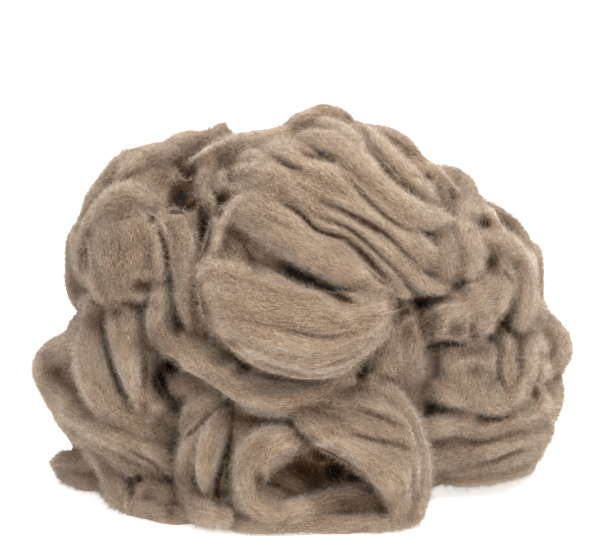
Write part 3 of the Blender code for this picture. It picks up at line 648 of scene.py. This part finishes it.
def evaluated(bm, name, modifiers):
    """The mesh that a list of modifiers, each a kind and its settings, makes of a bmesh."""
    mesh = bpy.data.meshes.new(name)
    bm.to_mesh(mesh)
    bm.free()
    holder = add_object(name, mesh)
    for kind, settings in modifiers:
        modifier = holder.modifiers.new(kind, kind)
        for setting, value in settings.items():
            setattr(modifier, setting, value)
    bpy.context.view_layer.update()
    made = bpy.data.meshes.new_from_object(holder.evaluated_get(bpy.context.evaluated_depsgraph_get()))
    bpy.data.objects.remove(holder)
    bpy.data.meshes.remove(mesh)
    made.name = name
    return made


def read_columns(items, name, width=3, kind=np.float32):
    """A table of one property of a mesh's items, with width columns."""
    flat = np.empty(len(items) * width, kind)
    items.foreach_get(name, flat)
    return flat.reshape(-1, width).astype(float if kind == np.float32 else int)


def write_points(mesh, points_mm):
    """Puts a mesh's points at places given in millimetres on the drawings' frame."""
    places = (points_mm + SHIFT) * MM
    mesh.vertices.foreach_set("co", places.astype(np.float32).ravel())
    mesh.update()


def copies(bm, name, count):
    """A mesh of this many copies of a shape, all on one spot."""
    return evaluated(bm, name, [("ARRAY", {"count": count, "relative_offset_displace": (0, 0, 0)})])


def balls(name, count, around, rings):
    """A mesh of this many balls, all on one spot, and the points of one of them."""
    ball = bmesh.new()
    bmesh.ops.create_uvsphere(ball, u_segments=around, v_segments=rings, radius=1.0)
    mesh = copies(ball, name, count)
    return mesh, read_columns(mesh.vertices, "co")[:len(mesh.vertices) // count]


def add_attribute(mesh, name, values, kind="FLOAT", domain="POINT", column="value"):
    """An attribute of a mesh's points or corners, which a material reads by its name."""
    attribute = mesh.attributes.new(name, kind, domain)
    attribute.data.foreach_set(column, values.astype(np.float32).ravel())


def joined_surface(strands, grid):
    """Strands and lobes run together into one smooth surface with points about one grid step apart."""
    skins, ball = balls("skins", strands.count, AROUND, RINGS)
    part = 1 - np.arccos(np.clip(ball[:, 2], -1, 1)) / math.pi
    angle = np.arctan2(ball[:, 1], ball[:, 0])
    reach = (np.hypot(ball[:, 0], ball[:, 1]) > 1e-4).astype(float)
    number = np.arange(strands.count)[:, None]
    at = np.broadcast_to(strands.places(number, part), (strands.count, len(ball)))
    write_points(skins, strands.tube(at, angle, reach).reshape(-1, 3))
    lobes, ball = balls("lobes", len(LOBES), LOBE_AROUND, LOBE_RINGS)
    write_points(lobes, np.concatenate([lobe_skin(ball, lobe) for lobe in LOBES.values()]))
    both = bmesh.new()
    for mesh in (skins, lobes):
        both.from_mesh(mesh)
        bpy.data.meshes.remove(mesh)
    return evaluated(both, "joined", [
        ("REMESH", {"mode": "VOXEL", "voxel_size": grid * MM}),
        ("SMOOTH", {"factor": 0.5, "iterations": SETTLE}),
    ])


def lobe_skin(ball, lobe):
    """A ball's points spread over a lobe."""
    half = np.array(lobe.half, float) - LOBE_INSET
    half = np.where((ball[:, 2:] < 0) & (np.arange(3) == 2), lobe.down - LOBE_INSET, half)
    reach = (np.abs(ball) ** lobe.power).sum(axis=1, keepdims=True) ** (-1 / lobe.power)
    return np.array(lobe.centre, float) + half * ball * reach


# ---------------------------------------------------------------- wool surface

def roughened(points, normals, strands, sample):
    """The joined surface with the heap's lumps, and locks, grooves and fine combing along the strand."""
    local = strands.local(points, sample)
    shift = strands.number[sample][:, None] * np.array(RELIEF_SHIFT)
    height = LUMPS.height * noise(points / LUMPS.size, LUMPS.seed)
    for layer in RELIEF:
        height += layer.height * noise(local / layer.size + shift, layer.seed)
    return points + normals * height[:, None]


def carved(points, normals):
    """The surface with the front drawing's creases and hollows pressed into it, and how deep they are."""
    across, up, sight, base = axes_of(VIEWS["front"])
    away = points - base
    flat = np.stack([away @ across, away @ up], axis=1)
    facing = np.clip(FACING[0] - FACING[1] * (normals @ sight), 0, 1)
    depth, drop = np.zeros(len(points)), np.zeros(len(points))
    for crease in CREASES:
        line = smooth_path(crease.path, CREASE_STEP)
        reach = CREASE_REACH * crease.width
        low, high = line.min(axis=0) - reach, line.max(axis=0) + reach
        near = np.flatnonzero(((flat > low) & (flat < high)).all(axis=1))
        gap = np.linalg.norm(flat[near, None, :] - line, axis=2)
        closest = gap.argmin(axis=1)
        taper = np.sin(math.pi * (closest + 1) / (len(line) + 1)) ** CREASE_TAPER
        sunk = crease.depth * taper * np.exp(-(gap.min(axis=1) / crease.width) ** 2)
        depth[near] = np.maximum(depth[near], sunk)
    for hollow in HOLLOWS:
        gap = np.linalg.norm((flat - hollow.at) / hollow.half, axis=1)
        depth = np.maximum(depth, hollow.depth * np.exp(-gap**2))
        drop = np.maximum(drop, hollow.drop * np.exp(-gap**2))
    depth, drop = depth * facing, drop * facing
    points = points + sight * depth[:, None]
    points[:, 2] -= drop
    return points, depth + drop


def finished(name, mesh, material):
    """A finished piece: linked, on its body, standing for the CAD solid."""
    mesh.materials.append(material)
    piece = add_object(name, mesh)
    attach(piece, "root")
    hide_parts("roving")


def cavity_of(points, normals, edges, reach):
    """How deep each point lies below its smoothed surroundings, in millimetres; ridges are below zero.
    The surroundings reach that many grid steps each way."""
    count = np.bincount(edges.ravel(), minlength=len(points))[:, None]
    soft = points
    for _ in range(int(2 * reach**2)):
        total = np.stack([np.bincount(edges[:, 0], column[edges[:, 1]], len(points))
                          + np.bincount(edges[:, 1], column[edges[:, 0]], len(points)) for column in soft.T])
        soft = 0.5 * soft + 0.5 * total.T / count
    return ((soft - points) * normals).sum(axis=1)


Skin = namedtuple("Skin", "points normals cavity sample")


def add_wool(strands, material):
    """The heap's skin, in one piece for each group of folds: those drawn from the front are the finest."""
    names = list(PIECES)
    in_front = np.array([name in FRONT_PIECES for name in names])
    skins = []
    for grid, front in ((FINE_GRID, True), (COARSE_GRID, False)):
        joined = joined_surface(strands, grid)
        points = read_columns(joined.vertices, "co") / MM - SHIFT
        normals = read_columns(joined.vertices, "normal")
        edges = read_columns(joined.edges, "vertices", 2, np.int32)
        corners = read_columns(joined.loops, "vertex_index", 1, np.int32).reshape(-1, 4)
        sample = strands.nearest(points)
        felted = np.clip(0.5 + PATCH_EDGE * noise(points / PATCH, 7), 0, 1)
        share = MERGE[0] + (MERGE[1] - MERGE[0]) * felted
        points = points + normals * (share * cavity_of(points, normals, edges, FELT_REACH / grid))[:, None]
        points, carved_by = carved(points, normals)
        points = roughened(points, normals, strands, sample)
        group = strands.piece[sample]
        if not front:
            sunk = run_under(group, in_front, edges)
            points = points - normals * sunk[:, None]
        points[:, 2] = np.maximum(points[:, 2], 0.0)
        write_points(joined, points)
        normals = read_columns(joined.vertices, "normal")
        # the depth below the surroundings, with the carved depth added, drives the painted shade of grooves
        # and the painted highlight of ridges, on the skin and on its fibres
        cavity = cavity_of(points, normals, edges, SHADE_REACH / grid) + CARVED_SHADE * carved_by
        owner = group[corners[:, 0]]
        for number, name in enumerate(names):
            if in_front[number] == front:
                chosen = owner == number
                used = np.unique(corners[chosen])
                part = Skin(points[used], normals[used], cavity[used], sample[used])
                add_group(name, joined, chosen.tolist(), part, strands, material)
                skins.append(part)
        bpy.data.meshes.remove(joined)
    return Skin(*(np.concatenate(column) for column in zip(*skins)))


def run_under(group, in_front, edges):
    """Gives the points just past the coarse groups' edge to them, so that the two grids meet with no gap.
    Returns how far each of those points is sunk."""
    sunk = np.zeros(len(group))
    for _ in range(OVERLAP):
        for inner, outer in ((0, 1), (1, 0)):
            meet = edges[~in_front[group[edges[:, inner]]] & in_front[group[edges[:, outer]]]]
            group[meet[:, outer]] = group[meet[:, inner]]
            sunk[meet[:, outer]] = OVERLAP_SINK
    return sunk


def add_group(name, joined, chosen, part, strands, material):
    """One group of folds: the chosen faces of the joined surface, with the part of the skin they use."""
    cut = bmesh.new()
    cut.from_mesh(joined)
    others = [face for face, kept in zip(cut.faces, chosen) if not kept]
    bmesh.ops.delete(cut, geom=others, context="FACES")
    mesh = evaluated(cut, name, [])
    mesh.shade_smooth()
    corners = read_columns(mesh.loops, "vertex_index", 1, np.int32).reshape(-1, 4)
    owner = part.sample[corners[:, 0]]
    grain = strands.local(part.points[corners], owner[:, None].repeat(4, axis=1))
    grain += strands.number[owner][:, None, None] * np.array(GRAIN_SHIFT)
    add_attribute(mesh, "grain", grain, "FLOAT_VECTOR", "CORNER", "vector")
    # the material turns this depth into painted shade in grooves and a painted highlight on ridges
    add_attribute(mesh, "deep", part.cavity)
    mesh.normals_split_custom_set_from_vertices(part.normals.tolist())
    finished(name, mesh, material)


# ---------------------------------------------------------------- fibres

def lay_ribbons(name, lines, faces_to, widths, tints, material):
    """A piece of ribbons along lines (count, places, 3), facing about faces_to, with narrow tips."""
    count, places = lines.shape[:2]
    strip = bmesh.new()
    bmesh.ops.create_grid(strip, x_segments=places - 1, y_segments=1, size=0.5)
    strip.verts.sort(key=lambda vert: 4.0 * vert.co.y + vert.co.x)
    strip.verts.index_update()
    aside = unit(np.cross(unit(np.gradient(lines, axis=1)), faces_to[:, None, :]))
    part = np.linspace(-1, 1, places)
    narrow = np.clip(NARROW[0] - np.abs(part) ** 3, NARROW[1], 1.0)
    half = 0.5 * widths[:, None, None] * narrow[None, :, None] * aside
    corners = np.concatenate([lines - half, lines + half], axis=1)
    finish_fibres(name, copies(strip, name, count), corners, tints, material)


def lay_spikes(name, starts, ends, faces_to, widths, tints, material):
    """A piece of short straight fibres, each one triangle that is wide at its start."""
    spike = bmesh.new()
    bmesh.ops.create_circle(spike, cap_ends=True, segments=3, radius=1.0)
    half = 0.5 * widths[:, None] * unit(np.cross(ends - starts, faces_to))
    corners = np.stack([starts - half, starts + half, ends], axis=1)
    finish_fibres(name, copies(spike, name, len(starts)), corners, tints, material)


def finish_fibres(name, mesh, corners, tints, material):
    """The finished piece of fibres: its points (count, points of a fibre, 3) kept over the table, and each
    fibre's tint from dark to pale."""
    corners[..., 2] = np.maximum(corners[..., 2], TABLE_GAP)
    write_points(mesh, corners.reshape(-1, 3))
    add_attribute(mesh, "tint", tints.repeat(corners.shape[1]))
    finished(name, mesh, material)


def root_places(rng, kind, skin, shares):
    """Random places on the skin, more of them where it faces the front or up and fewer in deep places, times
    the points' own shares."""
    facing = np.clip(-skin.normals[:, 1] * FRONT_AND_UP[0] + skin.normals[:, 2] * FRONT_AND_UP[1], -1, 1)
    shares = shares * np.clip(DEEP_FEWER[0] - DEEP_FEWER[1] * skin.cavity, 0.1, 1.0)
    weight = shares * (1 + kind.front * (facing + 0.4).clip(0, 1)) * (skin.points[:, 2] > 1.0)
    return rng.choice(len(skin.points), kind.count, p=weight / weight.sum())


def tint_at(rng, kind, skin, roots):
    """How pale each fibre is: darker in creases and deep places as painted shade, paler on ridges as a
    painted highlight, and never quite like the next.
    """
    cavity = skin.cavity[roots]
    tint = np.clip(TINT[0] - TINT[1] * cavity.clip(-1.5, 4.0) + rng.normal(0, kind.tints, len(roots)), 0, 1)
    deep, start, over = DEEP_TINT
    return deep + (1 - deep) * tint - deep * np.clip((cavity - start) / over, 0, 1)


def add_straight(rng, kind, strands, skin, shares, material):
    """One kind of straight fibres, in a piece for each region of the heap that they start in."""
    roots = root_places(rng, kind, skin, shares)
    normals, along = skin.normals[roots], strands.along[skin.sample[roots]]
    start = skin.points[roots] + rng.normal(0, ROOT_STRAY, (kind.count, 3))
    sign = rng.choice([-1.0, 1.0], (kind.count, 1))
    stray = rng.normal(0, kind.stray, (kind.count, 3))
    heading = unit(kind.off * normals + kind.along * sign * along + stray)
    end = start + rng.uniform(*kind.length, (kind.count, 1)) * heading
    facing = kind.flat * normals + rng.normal(0, kind.turn, (kind.count, 3))
    widths = kind.width * rng.uniform(*kind.unlike, kind.count)
    tints = tint_at(rng, kind, skin, roots)
    front, left = start[:, 1] < BEHIND, start[:, 0] < 0.0
    regions = {"front": front, "left": front & left, "right": front & ~left, "back": ~front}
    for region in kind.regions:
        chosen = [column[regions[region]] for column in (start, end, facing, widths, tints)]
        lay_spikes(f"{kind.name}_{region}", *chosen, material)


def add_curled(rng, kind, strands, skin, material):
    """One kind of curled fibres, each a bent ribbon."""
    roots = root_places(rng, kind, skin, 1.0)
    normals, along = skin.normals[roots], strands.along[skin.sample[roots]]
    stray = rng.normal(0, kind.stray, (kind.count, 3))
    heading = unit(kind.off * normals + kind.along * along + stray)
    curl = rng.normal(0, CURL, (kind.count, 3))
    part = np.linspace(0, 1, CURL_STEPS + 1)[None, :, None]
    bend = heading[:, None, :] * part + curl[:, None, :] * part**2
    lines = skin.points[roots][:, None, :] + rng.uniform(*kind.length, (kind.count, 1, 1)) * bend
    facing = kind.flat * normals + unit(rng.normal(0, kind.turn, (kind.count, 3)))
    widths = kind.width * rng.uniform(*kind.unlike, kind.count)
    lay_ribbons(kind.name, lines, facing, widths, tint_at(rng, kind, skin, roots), material)


def add_fibres(strands, skin, combed_wool, fuzzy_wool):
    """Fibres on the skin: combed ones along the strands, fuzz that stands off them, and curled ones."""
    rng = np.random.default_rng(41)
    add_straight(rng, COMBED, strands, skin, 1.0, combed_wool)
    shares = np.array([FUZZ_SHARES.get(name, 1.0) for name in PIECES])[strands.piece[skin.sample]]
    add_straight(rng, FUZZ, strands, skin, shares, fuzzy_wool)
    add_curled(rng, CURLED, strands, skin, fuzzy_wool)


# ---------------------------------------------------------------- materials

MIX_UNDER, MIX_OVER, MIX_RESULT = 6, 7, 2  # a Mix node's colour sockets


def linear(hex_colour):
    """An sRGB hex colour as linear red, green, blue and alpha."""
    parts = [int(hex_colour[i:i + 2], 16) / 255 for i in (0, 2, 4)]
    return (*(p / 12.92 if p <= 0.04045 else ((p + 0.055) / 1.055) ** 2.4 for p in parts), 1.0)


def new_material(name):
    """A new material, its nodes and its shader."""
    material = bpy.data.materials.new(name)
    material.use_nodes = True
    return material, material.node_tree, material.node_tree.nodes["Principled BSDF"]


def connect(tree, node, inputs):
    """Gives each of a node's inputs, by name or number, a link from a socket, or a plain value."""
    for key, source in inputs.items():
        if isinstance(source, bpy.types.NodeSocket):
            tree.links.new(source, node.inputs[key])
        else:
            node.inputs[key].default_value = source


def add_node(tree, kind, settings, inputs, stops=()):
    """A node with its settings, its inputs and a ramp's stops, each a place and an sRGB hex colour."""
    node = tree.nodes.new(kind)
    for name, value in settings.items():
        setattr(node, name, value)
    connect(tree, node, inputs)
    for number, (place, colour) in enumerate(stops):
        if number == len(node.color_ramp.elements):
            node.color_ramp.elements.new(1.0)
        node.color_ramp.elements[number].position = place
        node.color_ramp.elements[number].color = linear(colour)
    return node


def wool_skin_material():
    """Combed wool top, undyed taupe: matt, softly glowing at its edges, streaked along the strand where
    lighter and darker fleece were blended. Painted shade darkens the fine grooves between its locks, its
    creases and its hollows, and a painted highlight makes its ridges paler."""
    wool, tree, shader = new_material("combed taupe wool")
    grain = add_node(tree, "ShaderNodeAttribute", {"attribute_name": "grain"}, {}).outputs["Vector"]
    deep = add_node(tree, "ShaderNodeAttribute", {"attribute_name": "deep"}, {}).outputs["Fac"]

    # Blended fleece in broad streaks, locks, and hairs drawn as coarse as they need to show: size across and
    # along a strand in millimetres, detail and crimp
    streaks = []
    for across, along, detail, crimp in ((9.0, 60.0, 2.0, 0.0), (1.3, 9.0, 3.0, 1.2), (0.8, 3.5, 2.0, 1.6)):
        placed = add_node(tree, "ShaderNodeMapping", {"vector_type": "POINT"},
                          {"Vector": grain, "Scale": (1 / across, 1 / across, 1 / along)})
        inputs = {"Vector": placed.outputs["Vector"], "Scale": 1.0, "Detail": detail, "Roughness": 0.6,
                  "Distortion": crimp}
        streaks.append(add_node(tree, "ShaderNodeTexNoise", {}, inputs).outputs["Fac"])
    broad, fine, hair = streaks

    # How much painted shade a place gets in a groove, how much painted highlight on a ridge, and how open it
    # is to the edges' glow, by its depth
    ranges = []
    for low, high, at_low, at_high in ((0.6, 7.0, 0.0, 1.0), (-0.3, -2.6, 0.0, 0.45), (0.0, 3.5, 1.0, 0.0)):
        inputs = {"Value": deep, "From Min": low, "From Max": high, "To Min": at_low, "To Max": at_high}
        ranges.append(add_node(tree, "ShaderNodeMapRange", {}, inputs).outputs["Result"])
    painted_groove_shade, painted_ridge_highlight, glow = ranges

    # The fleece's colours, then the painted shade of grooves and the pale painted highlight of ridges, and
    # the way and the share in which each is laid over those before it
    colours = []
    for source, stops in (
        (broad, ((0.3, "8B7465"), (0.5, "A0876F"), (0.7, "A68F7B"))),
        (fine, ((0.3, "755E4C"), (0.5, "A38B74"), (0.7, "CBB49B"))),
        (hair, ((0.34, "A2968C"), (0.66, "FFFFFF"))),
        (painted_groove_shade, ((0.0, "FFFFFF"), (0.4, "A08A76"), (1.0, "302924"))),
    ):
        colours.append(add_node(tree, "ShaderNodeValToRGB", {}, {"Fac": source}, stops).outputs["Color"])
    # the last layer, D2C1AB, is a pale painted highlight mixed onto ridges
    colour, *layers = [*colours, linear("D2C1AB")]
    ways = (("MIX", 0.5), ("MULTIPLY", 1.0), ("MULTIPLY", 1.0), ("MIX", painted_ridge_highlight))
    for layer, (way, share) in zip(layers, ways):
        inputs = {"Factor": share, MIX_UNDER: colour, MIX_OVER: layer}
        mixed = add_node(tree, "ShaderNodeMix", {"data_type": "RGBA", "blend_type": way}, inputs)
        colour = mixed.outputs[MIX_RESULT]
    height = add_node(tree, "ShaderNodeMath", {"operation": "MULTIPLY_ADD"}, {0: fine, 1: 1.2, 2: hair})
    bump = add_node(tree, "ShaderNodeBump", {},
                    {"Height": height.outputs["Value"], "Strength": 0.9, "Distance": 0.001})
    connect(tree, shader, {
        "Base Color": colour,
        "Normal": bump.outputs["Normal"],
        "Roughness": 0.95,
        "Specular IOR Level": 0.15,
        "Sheen Weight": glow,
        "Sheen Roughness": 0.3,
        "Sheen Tint": linear("F2EDE6"),
    })
    return wool


def wool_fibre_material(name, stops):
    """Single wool fibres: the same fleece, from dark to nearly white, so that no two lie alike; the dark end
    is painted shade for fibres in deep places, and the pale end partly a painted highlight on ridges.
    """
    wool, tree, shader = new_material(name)
    tint = add_node(tree, "ShaderNodeAttribute", {"attribute_name": "tint"}, {}).outputs["Fac"]
    colour = add_node(tree, "ShaderNodeValToRGB", {}, {"Fac": tint}, stops).outputs["Color"]
    connect(tree, shader, {"Base Color": colour, "Roughness": 0.8, "Specular IOR Level": 0.3})
    through = add_node(tree, "ShaderNodeBsdfTranslucent", {}, {"Color": colour})
    both = add_node(tree, "ShaderNodeMixShader", {},
                    {"Fac": 0.5, 1: shader.outputs["BSDF"], 2: through.outputs["BSDF"]})
    connect(tree, tree.nodes["Material Output"], {"Surface": both.outputs["Shader"]})
    return wool


# ---------------------------------------------------------------- the scene

add_camera()
add_studio()
add_floor()
all_strands = Strands()
wool_skin = add_wool(all_strands, wool_skin_material())
# The fibres' tints from dark to pale: the darkest are painted shade in deep places, the palest partly a
# painted highlight on ridges, and the spread between them the fleece's own uneven tone.
combed_stops = ((0.0, "2A1F17"), (0.2, "604B3B"), (0.6, "A18871"), (1.0, "D3BEA6"))
fuzzy_stops = ((0.0, "33271E"), (0.2, "6E5A4A"), (0.6, "AC9C8B"), (1.0, "C9BFB2"))
combed = wool_fibre_material("combed wool fibres", combed_stops)
fuzzy = wool_fibre_material("loose wool fibres", fuzzy_stops)
add_fibres(all_strands, wool_skin, combed, fuzzy)
